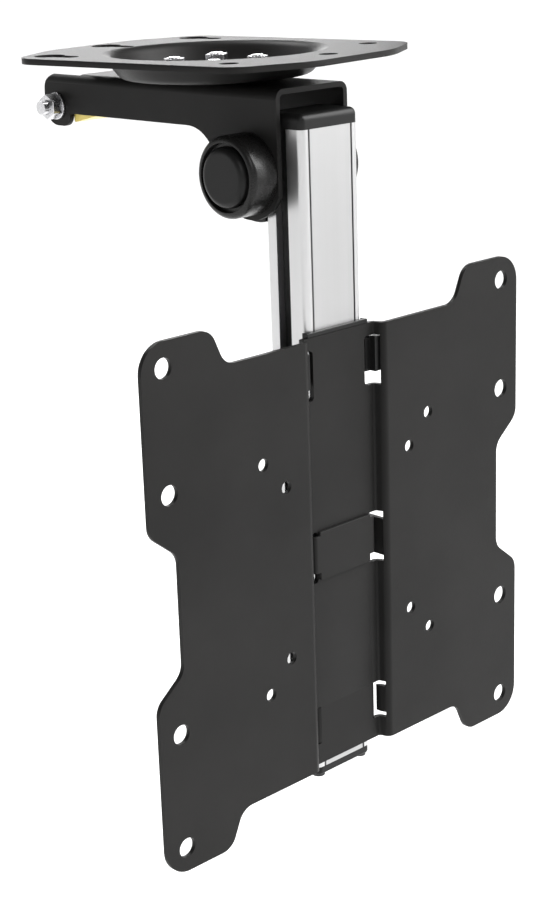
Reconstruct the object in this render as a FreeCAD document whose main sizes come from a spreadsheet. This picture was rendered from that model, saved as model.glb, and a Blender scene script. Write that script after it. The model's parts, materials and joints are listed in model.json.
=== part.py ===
import FreeCAD, Part
import math
import os

# Folding ceiling mount for a small flat screen.
# Origin: centre of the ceiling plate's top face, on the swivel axis.
# +Z up, the screen faces -Y, the arm reaches back along +Y, the fold axis runs along X.

Vector = FreeCAD.Vector
TINY = 1e-6

SIZES = [
    ("plate_thick", 2.5, "ceiling plate, sheet"),
    ("plate_half_width", 59.0, "ceiling plate, half width"),
    ("plate_half_length", 72.5, "ceiling plate, half length at the bulged middle"),
    ("plate_end_half_length", 58.5, "ceiling plate, half length at its corners"),
    ("plate_corner", 12.5, "ceiling plate, corner radius"),
    ("plate_rest_turn", 7.0, "turn of the ceiling plate against the arm at rest, degrees"),
    ("fixing_hole", 4.0, "round ceiling fixing hole, radius"),
    ("fixing_side", 46.0, "outer fixings, distance from the middle across"),
    ("fixing_row", 45.5, "outer round holes, distance from the middle along"),
    ("fixing_mid", 59.0, "middle round hole, distance from the middle along"),
    ("key_head", 6.5, "keyhole head, radius"),
    ("key_neck", 3.4, "keyhole neck, half width"),
    ("key_run", 12.4, "keyhole neck, centre to centre"),
    ("key_row", 52.0, "outer keyhole heads, distance from the middle along"),
    ("key_mid", 63.0, "middle keyhole head, distance from the middle along"),
    ("dish_rim", 45.0, "pressed dish, radius at the top face"),
    ("dish_floor", 39.0, "pressed dish, radius of its floor"),
    ("dish_depth", 8.0, "pressed dish, depth from the top face to its floor"),
    ("dish_bend", 3.0, "pressed dish, inner bend radius"),
    ("slot_circle", 17.5, "arc slots in the dish, radius of their circle"),
    ("slot_half_angle", 20.0, "arc slots in the dish, half angle, degrees"),
    ("swivel_disc", 28.0, "swivel disc between dish and arm, radius"),
    ("swivel_disc_thick", 1.2, "swivel disc, thickness"),
    ("arm_sheet", 2.2, "arm, sheet"),
    ("arm_bend", 1.9, "arm, inner bend radius"),
    ("arm_front", 55.9, "arm, front edge ahead of the swivel axis"),
    ("arm_web_back", 68.5, "arm, end of its top behind the swivel axis"),
    ("arm_depth", 17.3, "arm, height of its side walls"),
    ("arm_fillet", 17.0, "arm, hollow corner between arm and cheek, radius"),
    ("ear_radius", 8.7, "arm ears, radius round the tip bolt"),
    ("ear_corner", 7.5, "arm ears, upper corner radius"),
    ("tip_ahead", 83.3, "tip bolt behind the swivel axis"),
    ("tip_drop", 26.0, "tip bolt below the ceiling face"),
    ("fold_ahead", 38.9, "fold axis ahead of the swivel axis"),
    ("fold_drop", 46.2, "fold axis below the ceiling face"),
    ("cheek_radius", 18.9, "arm cheeks, radius round the fold axis"),
    ("boss_radius", 16.8, "pivot housings, radius"),
    ("boss_rim", 2.5, "pivot housings, rounded rim"),
    ("boss_wall", 2.8, "pivot housing, wall"),
    ("boss_near", 13.3, "left pivot housing, height"),
    ("boss_lip", 2.2, "left pivot housing, height of its rim above the ledge round the button"),
    ("cap_wall", 1.4, "right pivot cap, thickness of its end"),
    ("boss_far", 7.7, "right pivot cap, height"),
    ("button_radius", 12.4, "button in the left pivot housing, radius"),
    ("button_proud", 1.8, "button, height above the housing"),
    ("button_edge", 2.8, "button, rounded edge"),
    ("button_gap", 0.15, "open seam round the button"),
    ("button_sunk", 3.4, "button, inner face below the housing's rim"),
    ("button_flange", 1.0, "button, thickness of its hidden flange"),
    ("button_room", 0.5, "room between the fold bolt's end and the button"),
    ("spring_high", 1.7, "disc springs on the fold bolt, height of each"),
    ("m8", 4.0, "8 mm bolts, shank radius"),
    ("m6", 3.0, "6 mm bolts, shank radius"),
    ("m5", 2.5, "5 mm bolts, shank radius"),
    ("thread_out", 3.2, "tip bolt, end past its nut"),
    ("carriage_thread_out", 2.0, "carriage bolts, end past their nuts"),
    ("nut_bore", 0.05, "washers and tubes, radial play on their bolts"),
    ("hole_play", 0.3, "bolt holes, radial play"),
    ("pivot_play", 0.05, "running fit on the fold bolt, radial"),
    ("face_play", 0.1, "gap between faces that turn or slide on each other"),
    ("column_width", 33.0, "column, width"),
    ("column_depth", 22.0, "column, depth"),
    ("column_corner", 2.6, "column, corner radius"),
    ("column_wall", 2.0, "column, wall"),
    ("column_gap", 0.6, "gap between the column's back and the fold bolt"),
    ("column_top", 27.5, "column top below the ceiling face"),
    ("column_foot", 304.5, "column foot below the ceiling face"),
    ("cover_half", 12.0, "front cover strip, half width"),
    ("cover_thick", 1.4, "front cover strip, thickness"),
    ("seam", 0.5, "open seam beside the cover strip"),
    ("track_high", 7.0, "side track, width"),
    ("track_deep", 5.0, "side track, depth"),
    ("track_offset", 1.1, "side track behind the middle of the column"),
    ("strip_thick", 1.6, "black strip in the floor of the side track"),
    ("cap_top", 6.3, "top cap, height"),
    ("cap_foot", 3.6, "foot cap, height"),
    ("cap_screw", 1.5, "end cap screws, shank radius"),
    ("cap_screw_side", 3.4, "end cap screws, distance from the column's sides"),
    ("cap_screw_front", 3.5, "front end cap screws, distance from the column's front"),
    ("cap_screw_back", 3.1, "rear end cap screws, distance from the column's back"),
    ("cap_screw_grip", 10.0, "end cap screws, length in the column"),
    ("block_radius", 20.3, "hinge block, radius round the fold axis"),
    ("block_screw", 13.0, "hinge block screws, distance from the fold axis"),
    ("anchor_thick", 4.0, "anchor plate in the column, thickness"),
    ("friction_disc", 14.0, "friction discs, radius"),
    ("friction_thick", 1.7, "friction discs, thickness"),
    ("vesa_drop", 206.0, "middle of the screen hole pattern below the ceiling face"),
    ("screen_ahead", 72.5, "front of the screen plate ahead of the swivel axis"),
    ("screen_sheet", 2.0, "screen plate, sheet"),
    ("screen_half_width", 111.0, "screen plate, half width"),
    ("screen_half_height", 110.5, "screen plate, half height at its lobes"),
    ("screen_dip", 95.0, "screen plate, half height between the lobes"),
    ("screen_notch", 97.0, "screen plate, half width at the side notches"),
    ("lobe_inner", 75.5, "screen plate, inner corner of the lobes"),
    ("notch_half", 24.5, "screen plate, half height of the side notches"),
    ("slope", 7.0, "screen plate, run of the slopes between lobe and dip"),
    ("notch_slope", 11.0, "screen plate, run of the slopes into the side notches"),
    ("lobe_corner", 12.0, "screen plate, corner radius of the lobes"),
    ("s_curve", 8.0, "screen plate, radius of the S curves"),
    ("fold_half", 22.3, "screen plate, half width between the flanges"),
    ("web_half", 20.7, "screen plate, half width of the web"),
    ("web_set_back", 4.9, "screen plate, web behind the flanges"),
    ("screen_bend", 1.2, "screen plate, inner bend radius"),
    ("vesa_large", 100.0, "large hole pattern, half spacing"),
    ("vesa_large_mid", 50.0, "large hole pattern, half spacing of the 200 x 100 rows"),
    ("vesa_small", 50.0, "100 x 100 hole pattern, half spacing"),
    ("vesa_least", 37.5, "75 x 75 hole pattern, half spacing"),
    ("large_hole", 4.2, "large holes, radius"),
    ("small_hole", 2.7, "small holes, radius"),
    ("window_corner", 1.8, "windows at the folds, corner radius"),
    ("window_in", 15.4, "windows at the folds, inner edge from the centre line"),
    ("window_up", 1.7, "windows at the folds, upper end of their cut in the slanted walls, behind the flanges"),
    ("window_top_mid", 78.9, "upper windows, middle above the pattern's middle"),
    ("window_top_half", 10.7, "upper windows, half height"),
    ("window_mid_half", 11.4, "middle windows, half height"),
    ("window_low_mid", 77.0, "lower windows, middle below the pattern's middle"),
    ("window_low_half", 8.6, "lower windows, half height"),
    ("notch_high", 2.4, "notches above and below the wall's tongue in the lower windows, height"),
    ("stop_tab_in", 22.4, "stop tabs of the middle windows, inner face from the centre line"),
    ("stop_tab_high", 16.6, "stop tabs of the middle windows, height"),
    ("stop_tab_drop", 0.7, "stop tabs, middle below the pattern's middle"),
    ("stop_tab_back", 14.0, "stop tabs, rear end behind the flanges"),
    ("strap_height", 16.4, "clamp strap, height"),
    ("strap_sheet", 1.5, "clamp strap, sheet"),
    ("strap_front_height", 21.4, "clamp strap, height on the web"),
    ("strap_play", 1.0, "clamp strap, room beside the column for the slide pads"),
    ("slide_pad", 0.8, "slide pads between strap and column, thickness"),
    ("slide_pad_half", 11.6, "slide pads, half height"),
    ("strap_lift", 1.5, "clamp strap, middle above the pattern's middle"),
    ("strap_front_drop", 0.8, "clamp strap, part on the web below the strap's middle"),
    ("strap_ear", 12.5, "clamp strap, length of its bolt ears"),
    ("bar_thick", 3.0, "clamp bar behind the column, thickness"),
    ("pad_thick", 1.5, "pad between clamp bar and column, thickness"),
    ("collar_play", 0.3, "guide collar, play on the column"),
    ("collar_side", 4.0, "guide collar, thickness of its side walls"),
    ("collar_rear", 2.8, "guide collar, thickness of its rear wall"),
    ("collar_low", 74.0, "guide collar, lower end above the pattern's middle"),
    ("collar_ring", 10.0, "guide collar, height of its ring"),
    ("collar_lip", 1.8, "guide collar, height of its lip on the web's top edge"),
    ("collar_arm", 1.0, "guide collar, thickness of the arms up to the lip"),
    ("clip_set_back", 0.7, "guide collar, clips behind the web's front face"),
    ("clip_lobe", 2.6, "guide collar, outer half of its clips behind the flanges"),
    ("clip_deep", 3.9, "guide collar, depth of its clips"),
    ("clip_room", 0.5, "guide collar, room round its clips in the windows"),
    ("clip_out", 24.0, "guide collar, outer end of its clips from the centre line"),
    ("guide_in", 17.2, "guide tabs at the lower windows, inner face from the centre line"),
    ("tab_foot", 14.0, "guide tabs at the lower windows, inner end of their feet"),
    ("tab_height", 16.4, "guide tabs, height"),
    ("latch_sheet", 2.5, "latch lever, sheet"),
    ("latch_half", 9.0, "latch lever, half width"),
    ("latch_reach", 42.0, "latch lever, length ahead of the tip bolt"),
    ("latch_top", 6.0, "latch lever, top above the tip bolt's middle"),
    ("latch_catch", 31.5, "catch notch ahead of the tip bolt"),
    ("catch_rise", 1.0, "catch notch above the tip bolt's middle"),
    ("catch_play", 0.4, "catch notch, room round the pin"),
    ("catch_mouth", 1.4, "catch notch, widening of its mouth on each side"),
    ("grip_ahead", 25.3, "latch grip, front end ahead of the tip bolt"),
    ("grip_length", 17.5, "latch grip, length"),
    ("grip_play", 0.7, "latch grip, room beside it in the arm"),
    ("grip_drop", 7.2, "latch grip, lower edge below the tip bolt's middle, at its rear end"),
    ("grip_drop_front", 3.0, "latch grip, lower edge below the tip bolt's middle, at its front end"),
    ("striker_half", 4.6, "striker bracket, half height at its foot"),
    ("striker_nose", 4.2, "striker bracket, radius round the pin"),
    ("rivet", 1.6, "striker rivets, shank radius"),
    ("striker_pin", 2.5, "striker pin, radius"),
    ("spacer_radius", 4.5, "spacer tube on the tip bolt, radius"),
]

doc = FreeCAD.newDocument("ceiling_mount")
sheet = doc.addObject("Spreadsheet::Sheet", "Sizes")
for row, (alias, value, note) in enumerate(SIZES, start=1):
    sheet.set("A%d" % row, note)
    sheet.set("B%d" % row, str(value))
    sheet.setAlias("B%d" % row, alias)
DERIVED = [
    ("block_half", "=column_width / 2", "hinge block, half width, flush with the column"),
    ("arm_half_width", "=block_half + face_play + friction_thick + arm_sheet", "arm, half width outside"),
    ("grip_half", "=arm_half_width - arm_sheet - grip_play", "latch grip, half width"),
]
for row, (alias, formula, note) in enumerate(DERIVED, start=len(SIZES) + 1):
    sheet.set("A%d" % row, note)
    sheet.set("B%d" % row, formula)
    sheet.setAlias("B%d" % row, alias)
doc.recompute()

nodes = {}


def size(alias):
    return float(sheet.get(alias))


def bind(target, links):
    """Tie properties of an object to expressions on the sheet."""
    for name, expression in links.items():
        target.setExpression(name, expression)


def keep(label, item):
    """Name a finished sub-part; its label names its file."""
    item.Label = label
    nodes[label] = item
    return item


# Sketch outlines

def rounded(corners):
    """Closed run of lines through (a, b, radius) corners, each turned by a tangent arc."""
    turns = []
    count = len(corners)
    for index, (a, b, radius) in enumerate(corners):
        corner = Vector(a, b, 0)
        back = (Vector(corners[index - 1][0], corners[index - 1][1], 0) - corner).normalize()
        following = corners[(index + 1) % count]
        ahead = (Vector(following[0], following[1], 0) - corner).normalize()
        half = back.getAngle(ahead) / 2
        if radius < TINY or half > math.pi / 2 - TINY:
            turns.append((corner, corner, corner))
            continue
        reach = radius / math.tan(half)
        inward = (back + ahead).normalize()
        middle = corner + inward * (radius / math.sin(half) - radius)
        turns.append((corner + back * reach, middle, corner + ahead * reach))
    edges = []
    for index, (start, middle, end) in enumerate(turns):
        following = turns[(index + 1) % count][0]
        if start.distanceToPoint(end) > TINY:
            edges.append(Part.Arc(start, middle, end))
        if end.distanceToPoint(following) > TINY:
            edges.append(Part.LineSegment(end, following))
    return edges


def rectangle(low_a, low_b, high_a, high_b, radius=0.0):
    return rounded([(low_a, low_b, radius), (high_a, low_b, radius),
                    (high_a, high_b, radius), (low_a, high_b, radius)])


def circle(a, b, radius):
    return [Part.Circle(Vector(a, b, 0), Vector(0, 0, 1), radius)]


def folded(face, thickness, bend):
    """Section of a folded sheet whose one face runs through the points; the metal lies left of it."""
    points = [Vector(a, b, 0) for a, b in face]
    runs = [(points[i + 1] - points[i]).normalize() for i in range(len(points) - 1)]
    lefts = [Vector(-run.y, run.x, 0) for run in runs]
    last = len(points) - 1
    front = []
    back = []
    for index, point in enumerate(points):
        if index in (0, last):
            left = lefts[0] if index == 0 else lefts[-1]
            front.append((point.x, point.y, 0.0))
            other = point + left * thickness
            back.append((other.x, other.y, 0.0))
            continue
        before, after = lefts[index - 1], lefts[index]
        diagonal = before + after
        other = point + diagonal * (thickness / diagonal.dot(before))
        left_turn = runs[index - 1].cross(runs[index]).z > 0
        front.append((point.x, point.y, bend + thickness if left_turn else bend))
        back.append((other.x, other.y, bend if left_turn else bend + thickness))
    return rounded(front + back[::-1])


# PartDesign features

def new_body(label):
    body = doc.addObject("PartDesign::Body", label)
    return keep(label, body)


def sketch_on(body, role, edges, name, lift=0.0):
    plane = next(item for item in body.Origin.OriginFeatures if item.Role == role)
    sketch = body.newObject("Sketcher::SketchObject", name)
    sketch.AttachmentSupport = (plane, [""])
    sketch.MapMode = "FlatFace"
    sketch.AttachmentOffset.Base = Vector(0, 0, lift)
    for edge in edges:
        sketch.addGeometry(edge, False)
    return sketch


def pad(body, role, edges, name, length, symmetric=True, reverse=False, lift=0.0):
    feature = body.newObject("PartDesign::Pad", name)
    feature.Profile = sketch_on(body, role, edges, name + "_sketch", lift)
    feature.setExpression("Length", length)
    if symmetric:
        feature.SideType = "Symmetric"
    feature.Reversed = reverse
    doc.recompute()
    return feature


def pocket(body, role, edges, name, length=None, reverse=False, lift=None):
    """Cut the outline: right through both ways, to a length one way, or about a lifted plane."""
    before = body.Shape.Volume
    feature = body.newObject("PartDesign::Pocket", name)
    feature.Profile = sketch_on(body, role, edges, name + "_sketch", lift or 0.0)
    if length is None:
        feature.Type = "ThroughAll"
    else:
        feature.setExpression("Length", length)
        feature.Reversed = reverse
    if length is None or lift is not None:
        feature.SideType = "Symmetric"
    doc.recompute()
    if body.Shape.Volume > before - TINY:
        raise RuntimeError(name + " removes nothing")
    return feature


def revolve(body, role, edges, name, axis_role="Z_Axis", cut=False):
    kind = "PartDesign::Groove" if cut else "PartDesign::Revolution"
    feature = body.newObject(kind, name)
    feature.Profile = sketch_on(body, role, edges, name + "_sketch")
    axis = next(item for item in body.Origin.OriginFeatures if item.Role == axis_role)
    feature.ReferenceAxis = (axis, [""])
    feature.Angle = 360
    doc.recompute()
    return feature


# Part primitives

def aim(point, direction=(0, 0, 1), roll=0.0):
    """Placement whose own +Z points along the direction."""
    turn = FreeCAD.Rotation(Vector(0, 0, 1), Vector(*direction))
    own = FreeCAD.Rotation(Vector(0, 0, 1), roll)
    return FreeCAD.Placement(Vector(*point), turn.multiply(own))


def rod(point, direction, radius, length):
    """Cylinder from a point along a direction; radius and length are expressions."""
    item = doc.addObject("Part::Cylinder", "rod")
    bind(item, {"Radius": radius, "Height": length})
    item.Placement = aim(point, direction)
    return item


def hexagon(point, direction, flats, length, roll=0.0):
    """Hexagonal prism, across its flats."""
    item = doc.addObject("Part::Prism", "hexagon")
    item.Polygon = 6
    bind(item, {"Circumradius": "(%s) / sqrt(3)" % flats, "Height": length})
    item.Placement = aim(point, direction, roll)
    return item


def tube(point, direction, outer, inner, length):
    """Ring or tube as one cylinder less another."""
    item = doc.addObject("Part::Cut", "tube")
    item.Base = rod(point, direction, outer, length)
    item.Tool = rod(point, direction, inner, length)
    return item


def block(low, high):
    """Box between two corners."""
    item = doc.addObject("Part::Box", "block")
    item.Length = high[0] - low[0]
    item.Width = high[1] - low[1]
    item.Height = high[2] - low[2]
    item.Placement.Base = Vector(*low)
    return item


def fuse(items):
    if len(items) == 1:
        return items[0]
    item = doc.addObject("Part::MultiFuse", "fuse")
    item.Shapes = items
    return item


def cut(base, tools):
    item = doc.addObject("Part::Cut", "cut")
    item.Base = base
    item.Tool = fuse(tools)
    return item


# Places that several sub-parts share

arm_top = -(size("plate_thick") + size("dish_depth") + size("swivel_disc_thick"))
arm_under = arm_top - size("arm_sheet")
arm_low = arm_top - size("arm_depth")
arm_inside = size("arm_half_width") - size("arm_sheet")
fold_y = -size("fold_ahead")
fold_z = -size("fold_drop")
tip_y = size("tip_ahead")
tip_z = -size("tip_drop")
vesa_z = -size("vesa_drop")
flange_y = -size("screen_ahead")
web_front = flange_y + size("web_set_back")
web_back = web_front + size("screen_sheet")
column_back = fold_y - size("m8") - size("column_gap")
column_front = column_back - size("column_depth")
column_mid = (column_back + column_front) / 2
column_side = size("column_width") / 2
track_mid = column_mid + size("track_offset")
swivel_angles = [45, 135, 225, 315]


# Ceiling plate: sheet with bulged long edges and a pressed dish that holds the swivel

def ceiling_plate():
    body = new_body("ceiling_plate")
    half = size("plate_half_width")
    long_mid = size("plate_half_length")
    long_end = size("plate_end_half_length")
    corner = size("plate_corner")
    third = half * 0.45
    outline = [(half, -long_end, corner), (half, long_end, corner), (third, long_mid, 3 * corner),
               (-third, long_mid, 3 * corner), (-half, long_end, corner), (-half, -long_end, corner),
               (-third, -long_mid, 3 * corner), (third, -long_mid, 3 * corner)]
    pad(body, "XY_Plane", rounded(outline), "plate", "Sizes.plate_thick", symmetric=False, reverse=True)
    hub = size("dish_rim") + size("plate_thick")
    pocket(body, "XY_Plane", circle(0, 0, hub), "dish_opening")
    floor = -size("dish_depth")
    overlap = hub + size("plate_thick")
    section = folded([(overlap, 0), (size("dish_rim"), 0), (size("dish_floor"), floor),
                      (size("m5") + size("pivot_play"), floor)], size("plate_thick"), size("dish_bend"))
    revolve(body, "XZ_Plane", section, "dish")
    side = size("fixing_side")
    holes = circle(-side, -size("fixing_row"), size("fixing_hole"))
    holes += circle(side, -size("fixing_row"), size("fixing_hole"))
    holes += circle(0, -size("fixing_mid"), size("fixing_hole"))
    for a, b in ((-side, size("key_row")), (0, size("key_mid")), (side, size("key_row"))):
        holes += keyhole(a, b)
    pocket(body, "XY_Plane", holes, "ceiling_fixings")
    slots = []
    for angle in swivel_angles:
        slots += arc_slot(angle)
    pocket(body, "XY_Plane", slots, "swivel_slots")
    body.Placement = aim((0, 0, 0), roll=size("plate_rest_turn"))
    return body


def keyhole(a, b):
    """Round head with a narrower neck towards the middle of the plate."""
    head = size("key_head")
    neck = size("key_neck")
    throat = math.sqrt(head ** 2 - neck ** 2)
    low = b - size("key_run")
    left_high = Vector(a - neck, b - throat, 0)
    right_high = Vector(a + neck, b - throat, 0)
    left_low = Vector(a - neck, low, 0)
    right_low = Vector(a + neck, low, 0)
    return [Part.Arc(right_high, Vector(a, b + head, 0), left_high),
            Part.LineSegment(left_high, left_low),
            Part.Arc(left_low, Vector(a, low - neck, 0), right_low),
            Part.LineSegment(right_low, right_high)]


def polar(radius, angle):
    return Vector(radius * math.cos(math.radians(angle)), radius * math.sin(math.radians(angle)), 0)


def arc_slot(middle):
    """Curved slot with round ends on the clamp bolts' circle."""
    ring = size("slot_circle")
    half = size("m5") + size("hole_play")
    reach = size("slot_half_angle")
    start, end = middle - reach, middle + reach
    beyond = math.degrees(half / ring)
    outer = Part.Arc(polar(ring + half, start), polar(ring + half, middle), polar(ring + half, end))
    inner = Part.Arc(polar(ring - half, start), polar(ring - half, middle), polar(ring - half, end))
    first = Part.Arc(polar(ring - half, start), polar(ring, start - beyond), polar(ring + half, start))
    last = Part.Arc(polar(ring - half, end), polar(ring, end + beyond), polar(ring + half, end))
    return [outer, last, inner, first]


# Arm: one folded sheet, a channel open downwards with cheeks round the fold axis and ears at the tip

def arm():
    body = new_body("arm")
    half = size("arm_half_width")
    deepest = fold_z - size("cheek_radius")
    ear_end = tip_y + size("ear_radius")
    front = -size("arm_front")
    middle = (front + ear_end) / 2
    section = folded([(half, deepest), (half, arm_top), (-half, arm_top), (-half, deepest)],
                     size("arm_sheet"), size("arm_bend"))
    length = "Sizes.arm_front + Sizes.tip_ahead + Sizes.ear_radius"
    pad(body, "XZ_Plane", section, "channel", length)
    fold_a = fold_y - middle
    tip_a = tip_y - middle
    front_a = front - middle
    cheek_back = fold_a + size("cheek_radius")
    ear_low = tip_z - size("ear_radius")
    side = [(front_a, arm_top + 1, 0), (front_a, deepest - 1, 0), (cheek_back, deepest - 1, 0),
            (cheek_back, arm_low, size("arm_fillet")),
            (tip_a - size("ear_radius"), arm_low, 0.6), (tip_a - size("ear_radius"), ear_low, 5),
            (ear_end - middle, ear_low, size("ear_radius") - 0.1),
            (ear_end - middle, arm_top, size("ear_corner")),
            (size("arm_web_back") - middle, arm_top, 0), (size("arm_web_back") - middle, arm_top + 1, 0)]
    around = rectangle(front_a - 10, deepest - 10, ear_end - middle + 10, arm_top + 20)
    pocket(body, "YZ_Plane", rounded(side) + around, "side_outline")
    cheek = size("cheek_radius")
    below = deepest - 5
    lower = [Part.Arc(Vector(fold_a - cheek, fold_z, 0), Vector(fold_a, deepest, 0),
                      Vector(fold_a + cheek, fold_z, 0)),
             Part.LineSegment(Vector(fold_a + cheek, fold_z, 0), Vector(fold_a + cheek, below, 0)),
             Part.LineSegment(Vector(fold_a + cheek, below, 0), Vector(fold_a - cheek, below, 0)),
             Part.LineSegment(Vector(fold_a - cheek, below, 0), Vector(fold_a - cheek, fold_z, 0))]
    pocket(body, "YZ_Plane", lower, "round_cheeks")
    bend_end = half - size("arm_sheet")
    back = size("arm_web_back") - middle
    pocket(body, "XY_Plane", rectangle(-bend_end, back, bend_end, ear_end - middle + 1), "ear_gap")
    pocket(body, "XY_Plane", circle(0, -middle, size("m5") + size("hole_play")), "swivel_hole")
    bolts = []
    for angle in swivel_angles:
        spot = polar(size("slot_circle"), angle)
        bolts += circle(spot.x, spot.y - middle, size("m5") + size("hole_play"))
    pocket(body, "XY_Plane", bolts, "clamp_bolt_holes")
    turning = circle(fold_a, fold_z, size("m8") + size("pivot_play"))
    turning += circle(tip_a, tip_z, size("m6") + size("hole_play"))
    pocket(body, "YZ_Plane", turning, "fold_and_tip_holes")
    body.Placement.Base = Vector(0, middle, 0)
    return body


# Swivel: disc, centre bolt and four clamp bolts that run in the dish's arc slots

def swivel():
    up, down = (0, 0, 1), (0, 0, -1)
    dish_floor = -size("dish_depth") + size("face_play")
    spots = [(0.0, 0.0)] + [tuple(polar(size("slot_circle"), angle))[:2] for angle in swivel_angles]
    holes = [rod((x, y, arm_top), up, "Sizes.m5 + Sizes.hole_play", "Sizes.swivel_disc_thick") for x, y in spots]
    disc = rod((0, 0, arm_top), up, "Sizes.swivel_disc", "Sizes.swivel_disc_thick - Sizes.face_play")
    keep("swivel_disc", cut(disc, holes))
    nut = "Sizes.m5 * 1.6"
    bolts, washers, nuts = [], [], []
    for x, y in spots:
        washer = size("m5") * (0.4 if bolts else 0.9)
        lift = dish_floor + washer
        washers.append(tube((x, y, dish_floor), up, "Sizes.m5 * 2", "Sizes.m5 + Sizes.nut_bore", "%f" % washer))
        shell = hexagon((x, y, lift), up, "Sizes.m5 * 3.2", nut, 30)
        nuts.append(cut(shell, [rod((x, y, lift), up, "Sizes.m5", nut)]))
        length = "%f + Sizes.m5 * 1.8" % (lift - arm_under)
        bolts.append(fuse([rod((x, y, arm_under), up, "Sizes.m5", length),
                           hexagon((x, y, arm_under), down, "Sizes.m5 * 3.2", "Sizes.m5 * 1.3", 30)]))
    for part, items in (("bolt", bolts), ("washer", washers), ("nut", nuts)):
        keep("swivel_" + part, items[0])
        keep("clamp_" + part + "s", fuse(items[1:]))


# Fold pivot: housings outside the cheeks, one long bolt, discs and spring washers

def fold_pivot():
    half = size("arm_half_width")
    left, right = (-1, 0, 0), (1, 0, 0)
    rim = size("boss_rim")
    wall = size("boss_wall")
    outer = size("boss_radius")
    height = size("boss_near")
    groove = size("button_radius")
    body = new_body("pivot_housing")
    seat = groove + size("button_gap")
    ledge = height - size("boss_lip")
    section = rounded([(seat, 0, 0), (outer, 0, 0), (outer, height, rim), (outer - wall, height, 0.25),
                       (outer - wall, ledge, 0), (seat, ledge, 0)])
    revolve(body, "XZ_Plane", section, "cup")
    body.Placement = aim((-half, fold_y, fold_z), left)
    body = new_body("pivot_button")
    top = height + size("button_proud")
    under = height - size("button_sunk")
    flange = under + size("button_flange")
    section = rounded([(0, under, 0), (seat, under, 0), (seat, flange, 0), (groove, flange, 0),
                       (groove, top, size("button_edge")), (0, top, 0)])
    revolve(body, "XZ_Plane", section, "button")
    body.Placement = aim((-half, fold_y, fold_z), left)
    body = new_body("pivot_cap")
    height = size("boss_far")
    section = rounded([(outer - wall, 0, 0), (outer, 0, 0), (outer, height, rim), (0, height, 0),
                       (0, height - size("cap_wall"), 0), (outer - wall, height - size("cap_wall"), 1)])
    revolve(body, "XZ_Plane", section, "cap")
    body.Placement = aim((half, fold_y, fold_z), right)
    head = "Sizes.m8 * 1.1"
    nut = "Sizes.m8 * 1.1"
    washer = size("m8") * 0.4
    length = 2 * half + size("boss_near") - size("button_sunk") - size("button_room")
    keep("pivot_bolt", fuse([
        rod((half + washer, fold_y, fold_z), left, "Sizes.m8", "%f + %f" % (length, washer)),
        hexagon((half + washer, fold_y, fold_z), right, "Sizes.m8 * 3.25", head)]))
    keep("pivot_washer", tube((half, fold_y, fold_z), right, "Sizes.m8 * 2.1", "Sizes.m8", "Sizes.m8 * 0.4"))
    springs = []
    pitch = size("spring_high") + 0.02
    for index in range(2):
        springs.append(disc_spring(-half - index * pitch, index % 2 == 0))
    keep("spring_washers", fuse(springs))
    start = -half - 2 * pitch
    keep("pivot_nut", cut(hexagon((start, fold_y, fold_z), left, "Sizes.m8 * 3.25", nut),
                          [rod((start, fold_y, fold_z), left, "Sizes.m8", nut)]))
    gap = size("face_play")
    for label, sign in (("friction_disc_left", -1), ("friction_disc_right", 1)):
        keep(label, tube((sign * (size("block_half") + gap), fold_y, fold_z), (sign, 0, 0),
                         "Sizes.friction_disc", "Sizes.m8 + Sizes.nut_bore", "Sizes.friction_thick"))


def disc_spring(x, wide_end_out):
    """Coned spring washer whose wide end faces left or right."""
    cone = doc.addObject("Part::Cone", "cone")
    wide, narrow = size("m8") * 2.2, size("m8") * 1.7
    cone.Radius1 = narrow if wide_end_out else wide
    cone.Radius2 = wide if wide_end_out else narrow
    cone.setExpression("Height", "Sizes.spring_high")
    cone.Placement = aim((x, fold_y, fold_z), (-1, 0, 0))
    return cut(cone, [rod((x, fold_y, fold_z), (-1, 0, 0), "Sizes.m8 + Sizes.pivot_play", "Sizes.spring_high")])


# Tip: bolt through the ears with washers, nut and a spacer tube that carries the latch

def tip():
    half = size("arm_half_width")
    left, right = (-1, 0, 0), (1, 0, 0)
    washer = size("m6") * 0.5
    nut = size("m6") * 1.6
    keep("tip_bolt", fuse([
        rod((half + washer, tip_y, tip_z), left, "Sizes.m6",
            "2 * Sizes.arm_half_width + %f" % (2 * washer + nut + size("thread_out"))),
        hexagon((half + washer, tip_y, tip_z), right, "Sizes.m6 * 3.3", "Sizes.m6 * 1.3")]))
    keep("tip_washers", fuse([
        tube((-half, tip_y, tip_z), left, "Sizes.m6 * 2", "Sizes.m6 + Sizes.nut_bore", "Sizes.m6 * 0.5"),
        tube((half, tip_y, tip_z), right, "Sizes.m6 * 2", "Sizes.m6 + Sizes.nut_bore", "Sizes.m6 * 0.5")]))
    keep("tip_nut", cut(
        hexagon((-half - washer, tip_y, tip_z), left, "Sizes.m6 * 3.3", "Sizes.m6 * 1.6"),
        [rod((-half - washer, tip_y, tip_z), left, "Sizes.m6", "Sizes.m6 * 1.6")]))
    keep("tip_spacer", tube((-arm_inside, tip_y, tip_z), right, "Sizes.spacer_radius",
                            "Sizes.m6 + Sizes.nut_bore", "2 * (Sizes.arm_half_width - Sizes.arm_sheet)"))


# Latch: lever on the tip spacer, its notch drops over the striker pin of the folded column

seat = Vector(-size("latch_catch"), size("catch_rise"), 0)
folded_pin = Vector(0, tip_y + seat.x, tip_z + seat.y)
pin_y = fold_y + (folded_pin.z - fold_z)
pin_z = fold_z - (folded_pin.y - fold_y)


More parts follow.
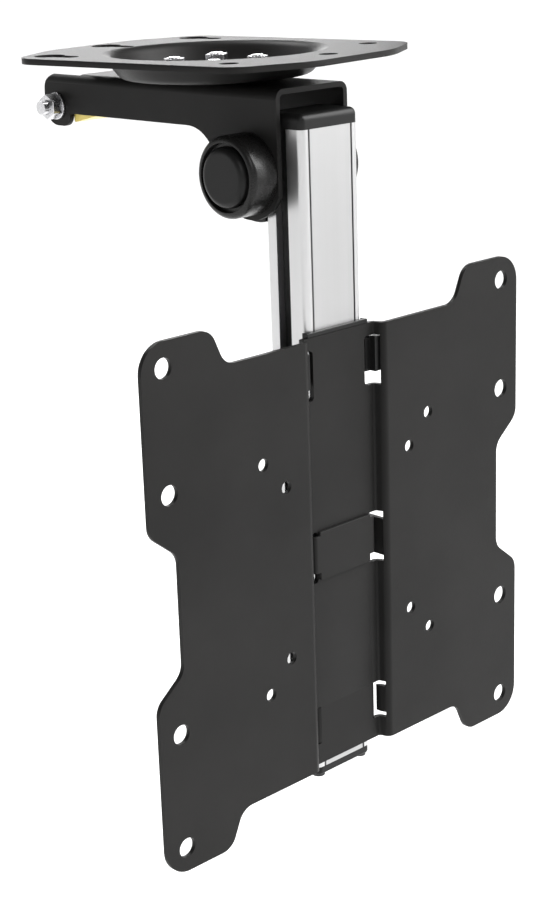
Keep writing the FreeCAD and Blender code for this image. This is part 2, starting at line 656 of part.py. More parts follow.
def latch():
    body = new_body("latch_lever")
    ring = size("spacer_radius") + size("pivot_play")
    around = ring + 2.3
    reach = size("latch_reach")
    top = size("latch_top")
    arm = Vector(folded_pin.y - fold_y, folded_pin.z - fold_z, 0)
    out = Vector(arm.y, -arm.x, 0).normalize()
    across = Vector(-out.y, out.x, 0)
    room = size("striker_pin") + size("catch_play")
    wide = room + size("catch_mouth")
    mouth = seat + out * (room + 1.6)
    low = mouth.y
    corners = [seat + out * 6 + across * wide, seat - out * room + across * room,
               seat - out * room - across * room, seat + out * 6 - across * wide]
    notch = rounded([(c.x, c.y, r) for c, r in zip(corners, (0, room - 0.1, room - 0.1, 0))])
    outline = rounded([(around, around, around - 0.1), (around, -around, around - 0.1),
                       (-around + 2, -around, 3.0), (-around - 1, low, 1.0),
                       (-reach, low, 1.5), (-reach, top, 2.0), (-around - 1, top, 0.5),
                       (-around + 1, around, 1.0)])
    pad(body, "YZ_Plane", outline, "cheeks", "2 * Sizes.latch_half")
    pocket(body, "YZ_Plane", notch + circle(0, 0, ring), "notch_and_bore")
    inside = size("latch_half") - size("latch_sheet")
    under = top - size("latch_sheet")
    opening = rectangle(-inside, low - 6, inside, under)
    pocket(body, "XZ_Plane", opening, "channel")
    body.Placement.Base = Vector(0, tip_y, tip_z)
    body = new_body("latch_grip")
    near, far = -size("grip_ahead"), -size("grip_ahead") + size("grip_length")
    under = top - size("latch_sheet")
    outline = rounded([(near, under, 0), (near, -size("grip_drop_front"), 0.8),
                       (far, -size("grip_drop"), 1.0), (far, under, 0)])
    pad(body, "YZ_Plane", outline, "grip", "2 * Sizes.grip_half")
    cheek_in = size("latch_half") - size("latch_sheet")
    for name, sign in (("left_cheek_slot", -1), ("right_cheek_slot", 1)):
        low_a, high_a = sorted((sign * cheek_in, sign * size("latch_half")))
        pocket(body, "XZ_Plane", rectangle(low_a, low - 0.4, high_a, under + 1), name)
    body.Placement.Base = Vector(0, tip_y, tip_z)


def rivet_spots():
    return [-size("latch_half") * 0.5, size("latch_half") * 0.5]


def striker():
    """Bracket on the column's back whose cross pin meets the latch when the screen is folded up."""
    cheek_in = size("latch_half") + 1.0
    cheek_out = cheek_in + size("arm_sheet")
    stand = pin_y - column_back
    body = new_body("striker_bracket")
    section = rounded([(-cheek_out, stand + 5, 0), (-cheek_out, 0, 2.5), (cheek_out, 0, 2.5),
                       (cheek_out, stand + 5, 0), (cheek_in, stand + 5, 0),
                       (cheek_in, size("arm_sheet"), 1.0), (-cheek_in, size("arm_sheet"), 1.0),
                       (-cheek_in, stand + 5, 0)])
    pad(body, "XY_Plane", section, "bracket", "2 * Sizes.striker_half")
    half = size("striker_half")
    nose = size("striker_nose")
    profile = rounded([(-1, -half, 0), (3, -half, 1), (stand + nose, -nose, nose - 0.1),
                       (stand + nose, nose, nose - 0.1), (3, half, 1), (-1, half, 0)])
    around = rectangle(-5, -half - 5, stand + 15, half + 5)
    pocket(body, "YZ_Plane", profile + around, "cheek_outline")
    pocket(body, "YZ_Plane", circle(stand, 0, size("striker_pin")), "pin_holes")
    rivet_holes = []
    for x in rivet_spots():
        rivet_holes += circle(x, 0, size("rivet"))
    pocket(body, "XZ_Plane", rivet_holes, "rivet_holes")
    body.Placement.Base = Vector(0, column_back, pin_z)
    reach = cheek_out + 0.8
    keep("striker_pin", rod((-reach, pin_y, pin_z), (1, 0, 0), "Sizes.striker_pin", "%f" % (2 * reach)))
    rivets = []
    for x in rivet_spots():
        rivets.append(rod((x, column_back - size("column_wall"), pin_z), (0, 1, 0), "Sizes.rivet",
                          "Sizes.column_wall + Sizes.arm_sheet"))
        rivets.append(rod((x, column_back + size("arm_sheet"), pin_z), (0, 1, 0), "Sizes.rivet * 1.7",
                          "Sizes.rivet * 0.8"))
    keep("striker_rivets", fuse(rivets))


# Column: aluminium extrusion with a snap-in front cover, side tracks and plastic end caps

column_length = "Sizes.column_foot - Sizes.column_top"
column_centre = -(size("column_top") + size("column_foot")) / 2


def column_outline():
    a = size("column_width") / 2
    b = size("column_depth") / 2
    return rectangle(-a, -b, a, b, size("column_corner"))


def screw_spots():
    """End cap screws: one channel in each corner of the extrusion."""
    a = size("column_width") / 2 - size("cap_screw_side")
    front = -size("column_depth") / 2 + size("cap_screw_front")
    back = size("column_depth") / 2 - size("cap_screw_back")
    return [(-a, front), (a, front), (-a, back), (a, back)]


def column():
    body = new_body("column")
    half = size("column_width") / 2
    deep = size("column_depth") / 2
    wall = size("column_wall")
    track = size("track_high") / 2
    middle = size("track_offset")
    pad(body, "XY_Plane", column_outline(), "extrusion", column_length)
    seam = size("cover_half") + size("seam")
    ledge = -deep + size("cover_thick")
    pocket(body, "XY_Plane", rectangle(-seam, -deep - 1, seam, ledge), "cover_seat")
    web = middle - track + wall / 2
    channel = rectangle(-seam + 1.5, ledge - 0.5, seam - 1.5, web - wall)
    pocket(body, "XY_Plane", channel, "cable_channel")
    inner = half - size("track_deep")
    for name, sign in (("track_left", -1), ("track_right", 1)):
        low_a, high_a = sorted((sign * inner, sign * (half + 1)))
        pocket(body, "XY_Plane", rectangle(low_a, middle - track, high_a, middle + track), name)
    hollow = inner - wall
    pocket(body, "XY_Plane", rectangle(-hollow, web, hollow, deep - wall, 1.0), "hollow")
    screws = []
    for a, b in screw_spots():
        screws += circle(a, b, size("cap_screw"))
    pocket(body, "XY_Plane", screws, "screw_channels")
    holes = []
    for spot in block_screw_heights():
        holes += circle(0, spot - column_centre, size("m6") + size("hole_play"))
    for x in rivet_spots():
        holes += circle(x, pin_z - column_centre, size("rivet"))
    pocket(body, "XZ_Plane", holes, "back_holes", "Sizes.column_depth")
    body.Placement.Base = Vector(0, column_mid, column_centre)


def block_screw_heights():
    return [fold_z - size("block_screw"), fold_z + size("block_screw")]


def column_trim():
    body = new_body("front_cover")
    wide = size("cover_half")
    deep = size("column_depth") / 2
    outline = rectangle(-wide, -deep, wide, -deep + size("cover_thick"), 0.25)
    pad(body, "XY_Plane", outline, "strip", column_length)
    body.Placement.Base = Vector(0, column_mid, column_centre)
    inner = size("column_width") / 2 - size("track_deep")
    middle = size("track_offset")
    half = size("track_high") / 2 - 0.05
    for label, sign in (("track_strip_left", -1), ("track_strip_right", 1)):
        body = new_body(label)
        low_a, high_a = sorted((sign * inner, sign * (inner + size("strip_thick"))))
        pad(body, "XY_Plane", rectangle(low_a, middle - half, high_a, middle + half), "strip", column_length)
        body.Placement.Base = Vector(0, column_mid, column_centre)
    for label, drop, height, way in (("top_cap", "column_top", "cap_top", 1),
                                     ("foot_cap", "column_foot", "cap_foot", -1)):
        body = new_body(label)
        pad(body, "XY_Plane", column_outline(), "cap", "Sizes." + height, symmetric=False, reverse=way < 0)
        if way < 0:
            holes = []
            for a, b in screw_spots():
                holes += circle(a, b, size("cap_screw"))
            pocket(body, "XY_Plane", holes, "screw_holes")
        round_rim(body, way * size(height), size(height) * (0.45 if way > 0 else 0.25))
        body.Placement.Base = Vector(0, column_mid, -size(drop))
    screws = []
    foot = -size("column_foot") - size("cap_foot")
    for a, b in screw_spots():
        b += column_mid
        screws.append(rod((a, b, foot), (0, 0, -1), "Sizes.cap_screw * 1.9", "Sizes.cap_screw * 0.8"))
        screws.append(rod((a, b, foot), (0, 0, 1), "Sizes.cap_screw", "Sizes.cap_foot + Sizes.cap_screw_grip"))
    keep("foot_screws", fuse(screws))


def round_rim(body, level, radius):
    """Round the outer edges of the end face at the given height."""
    tip = body.Tip
    width = size("column_width")
    rim = []
    for number, edge in enumerate(tip.Shape.Edges, start=1):
        box = edge.BoundBox
        flat = abs(box.ZMin - level) < TINY and abs(box.ZMax - level) < TINY
        outer = max(abs(box.XMin), abs(box.XMax)) > width / 2 - size("column_corner") - TINY
        small = isinstance(edge.Curve, Part.Circle) and edge.isClosed()
        if flat and outer and not small:
            rim.append("Edge%d" % number)
    feature = body.newObject("PartDesign::Fillet", "rounded_rim")
    feature.Base = (tip, rim)
    feature.Radius = radius
    doc.recompute()


# Hinge block: cast half barrel screwed to the column's back, bored for the fold bolt

def hinge_block():
    body = new_body("hinge_block")
    radius = size("block_radius")
    flat = column_back - fold_y
    rise = math.sqrt(radius ** 2 - flat ** 2)
    outline = [Part.Arc(Vector(flat, -rise, 0), Vector(radius, 0, 0), Vector(flat, rise, 0)),
               Part.LineSegment(Vector(flat, rise, 0), Vector(flat, -rise, 0))]
    bore = circle(0, 0, size("m8") + size("pivot_play"))
    pad(body, "YZ_Plane", outline + bore, "barrel", "2 * Sizes.block_half")
    shank, recess = [], []
    for side in (-1, 1):
        shank += circle(0, side * size("block_screw"), size("m6") + size("hole_play"))
        recess += circle(0, side * size("block_screw"), size("m6") * 1.67 + size("hole_play"))
    pocket(body, "XZ_Plane", shank, "screw_holes")
    pocket(body, "XZ_Plane", recess, "head_recesses", "Sizes.block_radius")
    body.Placement.Base = Vector(0, fold_y, fold_z)
    screws, anchor_holes = [], []
    plate_thick = size("anchor_thick")
    inside = column_back - size("column_wall")
    for z in block_screw_heights():
        shank_length = fold_y - inside + plate_thick + 1
        screws.append(rod((0, fold_y, z), (0, -1, 0), "Sizes.m6", "%f" % shank_length))
        screws.append(cut(rod((0, fold_y, z), (0, 1, 0), "Sizes.m6 * 1.67", "Sizes.m6 * 2"),
                          [hexagon((0, fold_y + size("m6"), z), (0, 1, 0), "Sizes.m6 * 1.7", "Sizes.m6 * 2")]))
        anchor_holes.append(rod((0, inside, z), (0, -1, 0), "Sizes.m6", "%f" % plate_thick))
    keep("block_screws", fuse(screws))
    wide = size("column_width") / 2 - size("track_deep") - size("column_wall") - 1.0
    tall = size("block_screw") + 5
    keep("anchor_plate", cut(block((-wide, inside - plate_thick, fold_z - tall),
                                   (wide, inside, fold_z + tall)), anchor_holes))


# Screen plate: one sheet with a recessed web, windows at its folds and the hole patterns

def screen_plate():
    body = new_body("screen_plate")
    half = size("screen_half_width")
    fold, web = size("fold_half"), size("web_half")
    deep = size("web_set_back")
    face = [(-half, 0), (-fold, 0), (-web, deep), (web, deep), (fold, 0), (half, 0)]
    section = folded(face, size("screen_sheet"), size("screen_bend"))
    pad(body, "XY_Plane", section, "folds", "2 * Sizes.screen_half_height")
    tall = size("screen_half_height")
    dip, notch = size("screen_dip"), size("screen_notch")
    lobe, slope = size("lobe_inner"), size("slope")
    bay, bay_slope = size("notch_half"), size("notch_slope")
    curve, corner = size("s_curve"), size("lobe_corner")
    quarter = [(lobe - slope, dip, curve), (lobe, tall, curve), (half, tall, corner),
               (half, bay + bay_slope, curve), (notch, bay, curve)]
    upper_left = [(-a, b, r) for a, b, r in quarter[::-1]]
    lower_left = [(-a, -b, r) for a, b, r in quarter]
    lower_right = [(a, -b, r) for a, b, r in quarter[::-1]]
    outline = rounded(quarter + lower_right + lower_left + upper_left)
    around = rectangle(-half - 10, -tall - 10, half + 10, tall + 10)
    pocket(body, "XZ_Plane", outline + around, "side_outline")
    large, mid = size("vesa_large"), size("vesa_large_mid")
    small, least = size("vesa_small"), size("vesa_least")
    holes = []
    for sign_a in (-1, 1):
        for sign_b in (-1, 1):
            holes += circle(sign_a * large, sign_b * large, size("large_hole"))
            holes += circle(sign_a * large, sign_b * mid, size("large_hole"))
            holes += circle(sign_a * small, sign_b * small, size("small_hole"))
            holes += circle(sign_a * least, sign_b * least, size("small_hole"))
    pocket(body, "XZ_Plane", holes, "hole_patterns")
    pocket(body, "XZ_Plane", windows(), "windows")
    thick, bend = size("screen_sheet"), size("screen_bend")
    low_mid, low_half = -size("window_low_mid"), size("window_low_half")
    notch_high = size("notch_high")
    notch_level = low_half - notch_high / 2
    for name, middle, height in (("upper", size("window_top_mid"), "2 * Sizes.window_top_half"),
                                 ("middle", 0.0, "2 * Sizes.window_mid_half"),
                                 ("lower_notch", low_mid - notch_level, "Sizes.notch_high"),
                                 ("higher_notch", low_mid + notch_level, "Sizes.notch_high")):
        walls = []
        for sign in (-1, 1):
            low_a, high_a = sorted((sign * (web - 2.0), sign * (fold + 3.0)))
            walls += rectangle(low_a, size("window_up"), high_a, deep + 2 * thick)
        pocket(body, "XY_Plane", walls, name + "_wall_cuts", height, lift=middle)
    back = deep + thick
    inner = size("guide_in")
    outer = inner + thick
    root = size("window_in") - bend
    foot = track_mid + size("track_high") / 2 - 2.5 - flange_y
    guide = [(root, deep, 0), (outer, deep, thick + bend), (outer, foot, thick + 0.6), (size("tab_foot"), foot, 0),
             (size("tab_foot"), foot - thick, 0), (inner, foot - thick, 0.6), (inner, back, bend), (root, back, 0)]
    tab_in = size("stop_tab_in")
    tab_out = tab_in + thick
    end = size("stop_tab_back")
    stop = [(tab_in, 0.8, 0), (tab_out, 0.8, 0), (tab_out, end, 0.8), (tab_in, end, 0.8)]
    for side, sign in (("left", -1), ("right", 1)):
        run = rounded([(sign * a, b, r) for a, b, r in guide])
        pad(body, "XY_Plane", run, side + "_guide", "Sizes.tab_height", lift=low_mid)
        run = rounded([(sign * a, b, r) for a, b, r in stop])
        pad(body, "XY_Plane", run, side + "_stop_tab", "Sizes.stop_tab_high", lift=-size("stop_tab_drop"))
    body.Placement.Base = Vector(0, flange_y, vesa_z)


def windows():
    """The part of the windows that lies in the web, three beside each fold."""
    near, far = size("window_in"), size("web_half") + 0.2
    levels = [(size("window_top_mid"), size("window_top_half")), (0.0, size("window_mid_half")),
              (-size("window_low_mid"), size("window_low_half"))]
    edges = []
    for sign in (-1, 1):
        for middle, tall in levels:
            run = [(near, middle - tall, size("window_corner")), (far, middle - tall, 0),
                   (far, middle + tall, 0), (near, middle + tall, size("window_corner"))]
            edges += rounded([(sign * a, b, r) for a, b, r in run])
    return edges


# Carriage clamp: strap over the web, through the middle windows, bolted to a bar behind the column

def clamp():
    sheet_thick = size("strap_sheet")
    inner = column_side + size("strap_play")
    outer = inner + sheet_thick
    bar_front = column_back + size("pad_thick")
    ear_back = bar_front - 1.0
    ear_end = outer + size("strap_ear")
    middle = vesa_z + size("strap_lift")
    body = new_body("clamp_strap")
    run = [(ear_end, ear_back), (inner, ear_back), (inner, web_front), (-inner, web_front),
           (-inner, ear_back), (-ear_end, ear_back)]
    run = [(a, b - column_mid) for a, b in run]
    pad(body, "XY_Plane", folded(run, sheet_thick, 0.6), "strap", "Sizes.strap_height")
    reach = size("window_in") - 0.1
    band = rectangle(-reach, web_front - sheet_thick - column_mid, reach, web_front - column_mid)
    pad(body, "XY_Plane", band, "band", "Sizes.strap_front_height", lift=-size("strap_front_drop"))
    bolt_x = outer + size("strap_ear") * 0.6
    holes = circle(-bolt_x, 0, size("m5") + size("hole_play")) + circle(bolt_x, 0, size("m5") + size("hole_play"))
    pocket(body, "XZ_Plane", holes, "ear_holes")
    body.Placement.Base = Vector(0, column_mid, middle)
    body = new_body("clamp_bar")
    tall = size("strap_height") / 2
    end = bolt_x + 5
    pad(body, "XZ_Plane", rectangle(-end, -tall, end, tall, 3.0), "bar", "Sizes.bar_thick",
        symmetric=False, reverse=True)
    pocket(body, "XZ_Plane", holes, "bolt_holes")
    body.Placement.Base = Vector(0, bar_front, middle)
    gap = size("face_play")
    keep("clamp_pad", block((-column_side + 1, column_back + gap, middle - tall + 1),
                            (column_side - 1, bar_front, middle + tall - 1)))
    pads = []
    for sign in (-1, 1):
        low_x, high_x = sorted((sign * (column_side + gap), sign * (column_side + gap + size("slide_pad"))))
        pads.append(block((low_x, web_back + gap, vesa_z - size("slide_pad_half")),
                          (high_x, column_back - 1, vesa_z + size("slide_pad_half"))))
    keep("slide_pads", fuse(pads))
    bolts, nuts = [], []
    for sign in (-1, 1):
        front = ear_back - sheet_thick
        bolts.append(rod((sign * bolt_x, front, middle), (0, 1, 0), "Sizes.m5",
                         "%f + Sizes.m5 * 1.6 + Sizes.carriage_thread_out" % (bar_front - front + size("bar_thick"))))
        bolts.append(hexagon((sign * bolt_x, front, middle), (0, -1, 0), "Sizes.m5 * 3.2", "Sizes.m5 * 1.4"))
        start = (sign * bolt_x, bar_front + size("bar_thick"), middle)
        nuts.append(cut(hexagon(start, (0, 1, 0), "Sizes.m5 * 3.2", "Sizes.m5 * 1.6"),
                        [rod(start, (0, 1, 0), "Sizes.m5", "Sizes.m5 * 1.6")]))
    keep("carriage_bolts", fuse(bolts))
    keep("carriage_nuts", fuse(nuts))


# Guide collar: plastic ring behind the web, clipped into the upper windows, with a lip on the web's top edge

def collar():
    inner = column_side + size("collar_play")
    outer = inner + size("collar_side")
    rear = column_back + size("collar_play")
    low = vesa_z + size("collar_low")
    high = low + size("collar_ring")
    edge = vesa_z + size("screen_dip")
    top = edge + size("collar_lip")
    arm_out = inner + size("collar_arm")
    arm_back = web_back + size("collar_arm") * 1.4
    lip_front = web_front + 0.2
    clip_top = vesa_z + size("window_top_mid") + size("window_top_half") - size("clip_room")
    clip_front = web_front + size("clip_set_back")
    clip_back = clip_front + size("clip_deep")
    clip_mid = size("web_half") - 0.2
    lobe_front = flange_y + size("clip_lobe")
    pieces = [block((-arm_out, lip_front, edge), (arm_out, column_front - size("collar_play"), top)),
              block((-outer, rear, low), (outer, rear + size("collar_rear"), high))]
    for sign in (-1, 1):
        for near, far, front, back, bottom, ceiling in (
                (inner, outer, web_back, rear, low, high),
                (inner, clip_mid, clip_front, clip_back, low, clip_top - 1),
                (clip_mid - 1, size("clip_out"), lobe_front, clip_back, low, clip_top),
                (inner, arm_out, web_back, arm_back, low, top),
                (inner, arm_out, lip_front, arm_back, edge, top)):
            low_x, high_x = sorted((sign * near, sign * far))
            pieces.append(block((low_x, front, bottom), (high_x, back, ceiling)))
    keep("guide_collar", fuse(pieces))


ceiling_plate()
arm()
swivel()
fold_pivot()
tip()
latch()
column()
column_trim()
hinge_block()
striker()
screen_plate()
clamp()
collar()
doc.recompute()

os.makedirs("parts", exist_ok=True)
for label, item in nodes.items():
    if "Invalid" in item.State or "Error" in item.State:
        raise RuntimeError("%s did not compute: %s" % (label, item.State))
    if item.Shape.isNull() or not item.Shape.isValid():
        raise RuntimeError("%s has no valid shape" % label)
    item.Shape.exportStep("parts/%s.step" % label)
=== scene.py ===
import json
import math

import bpy
from mathutils import Matrix, Vector

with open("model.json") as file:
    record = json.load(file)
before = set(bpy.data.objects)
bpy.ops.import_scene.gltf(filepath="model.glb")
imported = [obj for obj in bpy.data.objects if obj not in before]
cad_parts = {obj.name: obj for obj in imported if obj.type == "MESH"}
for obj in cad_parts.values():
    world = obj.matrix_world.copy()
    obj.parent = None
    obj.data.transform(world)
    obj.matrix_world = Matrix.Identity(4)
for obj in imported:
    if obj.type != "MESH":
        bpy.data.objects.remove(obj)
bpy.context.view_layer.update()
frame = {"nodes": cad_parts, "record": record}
nodes = frame["nodes"]
scene = bpy.context.scene


# Small helpers for node trees

class Graph:
    """A material's node tree with short calls for the nodes the looks below need."""

    def __init__(self, name):
        self.material = bpy.data.materials.new(name)
        self.material.use_nodes = True
        self.tree = self.material.node_tree
        self.shader = self.tree.nodes["Principled BSDF"]
        coordinates = self.tree.nodes.new("ShaderNodeTexCoord")
        self.place = coordinates.outputs["Object"]

    def link(self, source, target):
        self.tree.links.new(source, target)

    def stretched(self, scale):
        """The place in the object, drawn out along the axes with the smaller scales."""
        node = self.tree.nodes.new("ShaderNodeMapping")
        node.inputs["Scale"].default_value = scale
        self.link(self.place, node.inputs["Vector"])
        return node.outputs["Vector"]

    def across(self):
        """The place along X alone, in metres from the object's middle plane."""
        node = self.tree.nodes.new("ShaderNodeSeparateXYZ")
        self.link(self.place, node.inputs["Vector"])
        return node.outputs["X"]

    def noise(self, scale, detail, vector=None, roughness=0.5):
        node = self.tree.nodes.new("ShaderNodeTexNoise")
        node.inputs["Scale"].default_value = scale
        node.inputs["Detail"].default_value = detail
        node.inputs["Roughness"].default_value = roughness
        self.link(vector or self.place, node.inputs["Vector"])
        return node.outputs["Fac"]

    def spread(self, value, low=0.0, high=1.0, from_low=0.3, from_high=0.7):
        """The value's span from_low to from_high, mapped to low to high and held at both ends."""
        node = self.tree.nodes.new("ShaderNodeMapRange")
        node.inputs["From Min"].default_value = from_low
        node.inputs["From Max"].default_value = from_high
        node.inputs["To Min"].default_value = low
        node.inputs["To Max"].default_value = high
        self.link(value, node.inputs["Value"])
        return node.outputs["Result"]

    def maths(self, operation, *values):
        node = self.tree.nodes.new("ShaderNodeMath")
        node.operation = operation
        for socket, value in zip(node.inputs, values):
            if isinstance(value, float):
                socket.default_value = value
            else:
                self.link(value, socket)
        return node.outputs["Value"]

    def mixed(self, factor, first, second):
        node = self.tree.nodes.new("ShaderNodeMix")
        node.data_type = "RGBA"
        self.link(factor, node.inputs["Factor"])
        for socket, value in ((node.inputs["A"], first), (node.inputs["B"], second)):
            if isinstance(value, tuple):
                socket.default_value = (*value, 1.0)
            else:
                self.link(value, socket)
        return node.outputs["Result"]

    def bump(self, heights, distance):
        """One bump after another, each a texture with its strength, over the same distance in metres."""
        normal = None
        for height, strength in heights:
            node = self.tree.nodes.new("ShaderNodeBump")
            node.inputs["Strength"].default_value = strength
            node.inputs["Distance"].default_value = distance
            self.link(height, node.inputs["Height"])
            if normal is not None:
                self.link(normal, node.inputs["Normal"])
            normal = node.outputs["Normal"]
        self.link(normal, self.shader.inputs["Normal"])

    def colour(self, source):
        self.link(source, self.shader.inputs["Base Color"])

    def rough(self, source):
        self.link(source, self.shader.inputs["Roughness"])

    def set(self, **values):
        for name, value in values.items():
            self.shader.inputs[name.replace("_", " ")].default_value = value


NEUTRAL = (1.0, 1.0, 1.0)
WARM = (1.0, 0.975, 0.95)
COOL_ALUMINIUM = (1.0, 1.0, 1.005)
COOL_ZINC = (1.0, 1.0, 1.02)


def grey(value, tint=NEUTRAL):
    return tuple(value * part for part in tint)


# Painted shade in the seams beside the column's cover strip: where it lies, how far it is full and where
# it ends

SEAM_INSET = 0.0002
SEAM_AT = max(vertex.co.x for vertex in nodes["front_cover"].data.vertices) + SEAM_INSET
SEAM_DARK = 0.00035
SEAM_FADE = 0.00075


# Materials, one function for each kind of surface

def powder_coat(name, dark, light, roughness, specular=0.12):
    """Satin black powder coat: fine grain, soft orange peel and faint cloudiness."""
    g = Graph(name)
    cloud = g.noise(scale=22.0, detail=4.0)
    grain = g.noise(scale=2600.0, detail=2.0)
    peel = g.noise(scale=700.0, detail=2.0)
    g.colour(g.mixed(g.spread(cloud), grey(dark, WARM), grey(light, WARM)))
    g.rough(g.spread(grain, low=roughness - 0.06, high=roughness + 0.08))
    g.bump([(peel, 0.10), (grain, 0.16)], distance=0.0002)
    g.set(Metallic=0.0, Specular_IOR_Level=specular)
    return g.material


def moulded(name, colour, roughness, specular):
    """Moulded plastic with a fine spark-eroded grain."""
    g = Graph(name)
    cloud = g.noise(scale=40.0, detail=3.0)
    grain = g.noise(scale=3800.0, detail=2.0)
    darker = tuple(part * 0.9 for part in colour)
    g.colour(g.mixed(g.spread(cloud), darker, colour))
    g.rough(g.spread(grain, low=roughness - 0.05, high=roughness + 0.07))
    g.bump([(grain, 0.10)], distance=0.00012)
    g.set(Metallic=0.0, Specular_IOR_Level=specular)
    return g.material


def drawn_aluminium(name, base, roughness):
    """Extruded aluminium: long fine die lines, a little cloudiness, painted shade in the seams beside the
    cover.
    """
    g = Graph(name)
    lines = g.noise(scale=1.0, detail=3.0, vector=g.stretched((2400.0, 2400.0, 9.0)))
    broad = g.noise(scale=1.0, detail=2.0, vector=g.stretched((260.0, 260.0, 3.0)))
    cloud = g.noise(scale=14.0, detail=3.0)
    streak = grey(base * 0.96)
    bright = grey(base, COOL_ALUMINIUM)
    seam_shade = grey(base * 0.30)
    # Painted shade: the colour darkens to a third of the base in a narrow band along each seam beside the
    # cover strip.
    from_seam = g.maths("ABSOLUTE", g.maths("SUBTRACT", g.maths("ABSOLUTE", g.across()), SEAM_AT))
    unshaded = g.spread(from_seam, from_low=SEAM_DARK, from_high=SEAM_FADE)
    g.colour(g.mixed(unshaded, seam_shade, g.mixed(g.spread(broad), streak, bright)))
    g.rough(g.spread(cloud, low=roughness - 0.04, high=roughness + 0.05))
    g.bump([(lines, 0.10)], distance=0.00006)
    g.set(Metallic=1.0, Anisotropic=0.35)
    return g.material


def plated(name, base, roughness):
    """Zinc plated, oiled or blackened steel: small spangle and handling marks."""
    g = Graph(name)
    spangle = g.noise(scale=900.0, detail=3.0)
    marks = g.noise(scale=260.0, detail=5.0, roughness=0.7)
    dull = grey(base * 0.82, COOL_ZINC)
    bright = grey(base, COOL_ZINC)
    g.colour(g.mixed(g.spread(spangle), dull, bright))
    g.rough(g.spread(marks, low=roughness - 0.06, high=roughness + 0.12))
    g.bump([(spangle, 0.08)], distance=0.0001)
    g.set(Metallic=1.0)
    return g.material


looks = {
    "black_steel": powder_coat("black_steel_coat", dark=0.0105, light=0.0145, roughness=0.42),
    "black_cast": powder_coat("black_cast_coat", dark=0.007, light=0.010, roughness=0.27, specular=0.26),
    "black_plastic": moulded("black_moulding", grey(0.008), roughness=0.36, specular=0.2),
    "friction_lining": moulded("lining_grey", (0.16, 0.15, 0.14), roughness=0.75, specular=0.3),
    "column_aluminium": drawn_aluminium("column_metal", base=0.60, roughness=0.32),
    "cover_aluminium": drawn_aluminium("cover_metal", base=0.49, roughness=0.42),
    "zinc_steel": plated("zinc_plate", base=0.70, roughness=0.22),
    "spring_steel": plated("oiled_spring", base=0.26, roughness=0.35),
    "dark_screws": plated("blackened_screw", base=0.06, roughness=0.38),
    "grip_yellow": moulded("yellow_moulding", (0.84, 0.68, 0.20), roughness=0.38, specular=0.4),
}


# Edges: a small bevel on every node but the column, in metres

EDGE = 0.0003
OTHER_EDGES = {"column": 0.0, "front_cover": 0.0001, "screen_plate": 0.00035, "ceiling_plate": 0.00035}
EDGE_ANGLE = math.radians(38)
WELD_REACH = 1e-6


def dress(node, material, edge):
    """Gives a node its material, joined facets and its bevel."""
    node.data.materials.clear()
    node.data.materials.append(material)
    weld = node.modifiers.new("weld", "WELD")
    weld.merge_threshold = WELD_REACH
    if edge > 0:
        bevel = node.modifiers.new("edge", "BEVEL")
        bevel.width = edge
        bevel.segments = 2
        bevel.limit_method = "ANGLE"
        bevel.angle_limit = EDGE_ANGLE


for entry in frame["record"]["subparts"]:
    name = entry["node"]
    dress(nodes[name], looks[entry["material_slot"]], OTHER_EDGES.get(name, EDGE))


# Floor: a pale painted plane under the part

FLOOR_SIZE = 60.0
FLOOR_HEIGHT = -0.62

bpy.ops.mesh.primitive_plane_add(size=FLOOR_SIZE, location=(0.0, 0.0, FLOOR_HEIGHT))
floor = bpy.context.object
floor.name = "floor"
paint = Graph("floor_paint")
paint.colour(paint.mixed(paint.spread(paint.noise(scale=3.0, detail=3.0)), grey(0.93), grey(0.945)))
paint.rough(paint.spread(paint.noise(scale=60.0, detail=2.0), low=0.75, high=0.85))
paint.set(Specular_IOR_Level=0.15)
floor.data.materials.append(paint.material)


# World: white at the horizon and dim overhead, faded over the upward part of the direction

HORIZON = 1.0
ZENITH = 0.12
FADE = {"From Min": 0.02, "From Max": 0.35, "To Min": HORIZON, "To Max": ZENITH}

scene.view_settings.view_transform = "Standard"
world = bpy.data.worlds.new("studio")
scene.world = world
world.use_nodes = True
sky = world.node_tree
background = sky.nodes["Background"]
background.inputs["Color"].default_value = (*NEUTRAL, 1.0)
direction = sky.nodes.new("ShaderNodeTexCoord")
upward = sky.nodes.new("ShaderNodeSeparateXYZ")
fade = sky.nodes.new("ShaderNodeMapRange")
for socket, value in FADE.items():
    fade.inputs[socket].default_value = value
sky.links.new(direction.outputs["Generated"], upward.inputs["Vector"])
sky.links.new(upward.outputs["Z"], fade.inputs["Value"])
sky.links.new(fade.outputs["Result"], background.inputs["Strength"])


# Lights: four softboxes and one broad lamp from the front right, above

ORIGIN = (0.0, 0.0, 0.0)
MIDDLE = (0.0, 0.0, -0.15)
BROAD_STRENGTH = 4.9
BROAD_ANGLE = math.radians(50.0)
BROAD_TOWARDS = (-0.55, 0.50, -0.67)


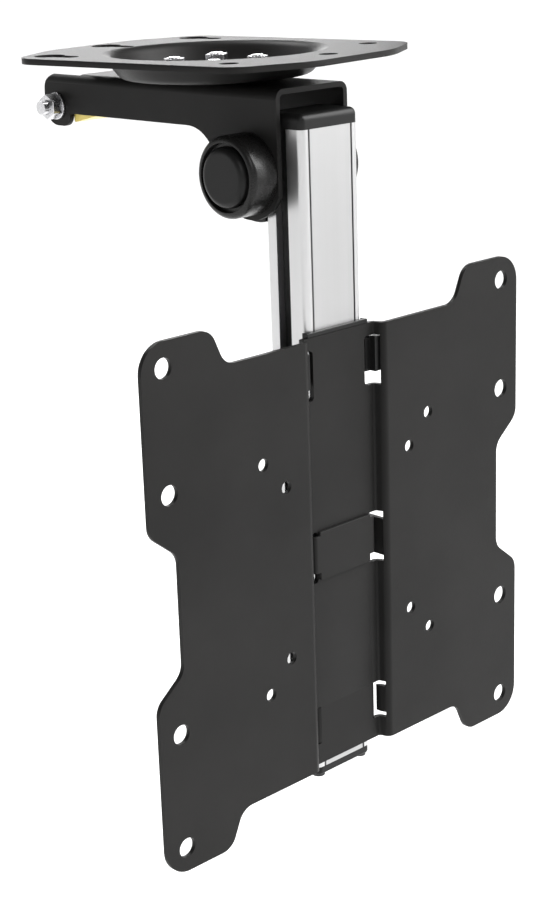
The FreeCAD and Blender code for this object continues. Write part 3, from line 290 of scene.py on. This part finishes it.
def aimed(item, direction):
    """Turns a light so that it shines along the direction."""
    item.rotation_euler = Vector(direction).to_track_quat("-Z", "Y").to_euler()


def softbox(name, place, target, width, height, watts):
    light = bpy.data.lights.new(name, "AREA")
    light.shape = "RECTANGLE"
    light.size = width
    light.size_y = height
    light.energy = watts
    item = bpy.data.objects.new(name, light)
    scene.collection.objects.link(item)
    item.location = place
    aimed(item, Vector(target) - Vector(place))


softbox("key", (-1.3, -1.5, 1.2), MIDDLE, width=1.0, height=1.0, watts=10.0)
softbox("fill", (1.4, -1.1, 0.3), MIDDLE, width=0.8, height=0.8, watts=8.0)
softbox("rim", (0.35, 1.4, 1.5), MIDDLE, width=0.9, height=0.9, watts=22.0)
softbox("low back", (1.1, 1.9, 0.32), ORIGIN, width=1.6, height=0.45, watts=13.0)

broad = bpy.data.lights.new("broad", "SUN")
broad.energy = BROAD_STRENGTH
broad.angle = BROAD_ANGLE
lamp = bpy.data.objects.new("broad", broad)
scene.collection.objects.link(lamp)
aimed(lamp, BROAD_TOWARDS)


# Camera, solved from the photograph: its place in metres and the picture's axes as unit vectors

FOCAL_PIXELS = 1863.25
PHOTO_HEIGHT = 897.0
SENSOR_WIDTH = 36.0
CAMERA_PLACE = Vector((-0.53992, -0.58579, 0.06638))
PICTURE_RIGHT = Vector((0.71112809, -0.7023321, -0.0320385))
PICTURE_DOWN = Vector((-0.22614742, -0.18535608, -0.95629518))
PICTURE_AHEAD = Vector((0.66569827, 0.68729379, -0.29064251))

camera_data = bpy.data.cameras.new("camera")
camera_data.sensor_width = SENSOR_WIDTH
camera_data.sensor_fit = "AUTO"
camera_data.lens = FOCAL_PIXELS / PHOTO_HEIGHT * SENSOR_WIDTH
camera_data.clip_start = 0.01
camera = bpy.data.objects.new("camera", camera_data)
scene.collection.objects.link(camera)
turn = Matrix((PICTURE_RIGHT, -PICTURE_DOWN, -PICTURE_AHEAD)).transposed().to_4x4()
camera.matrix_world = Matrix.Translation(CAMERA_PLACE) @ turn
scene.camera = camera
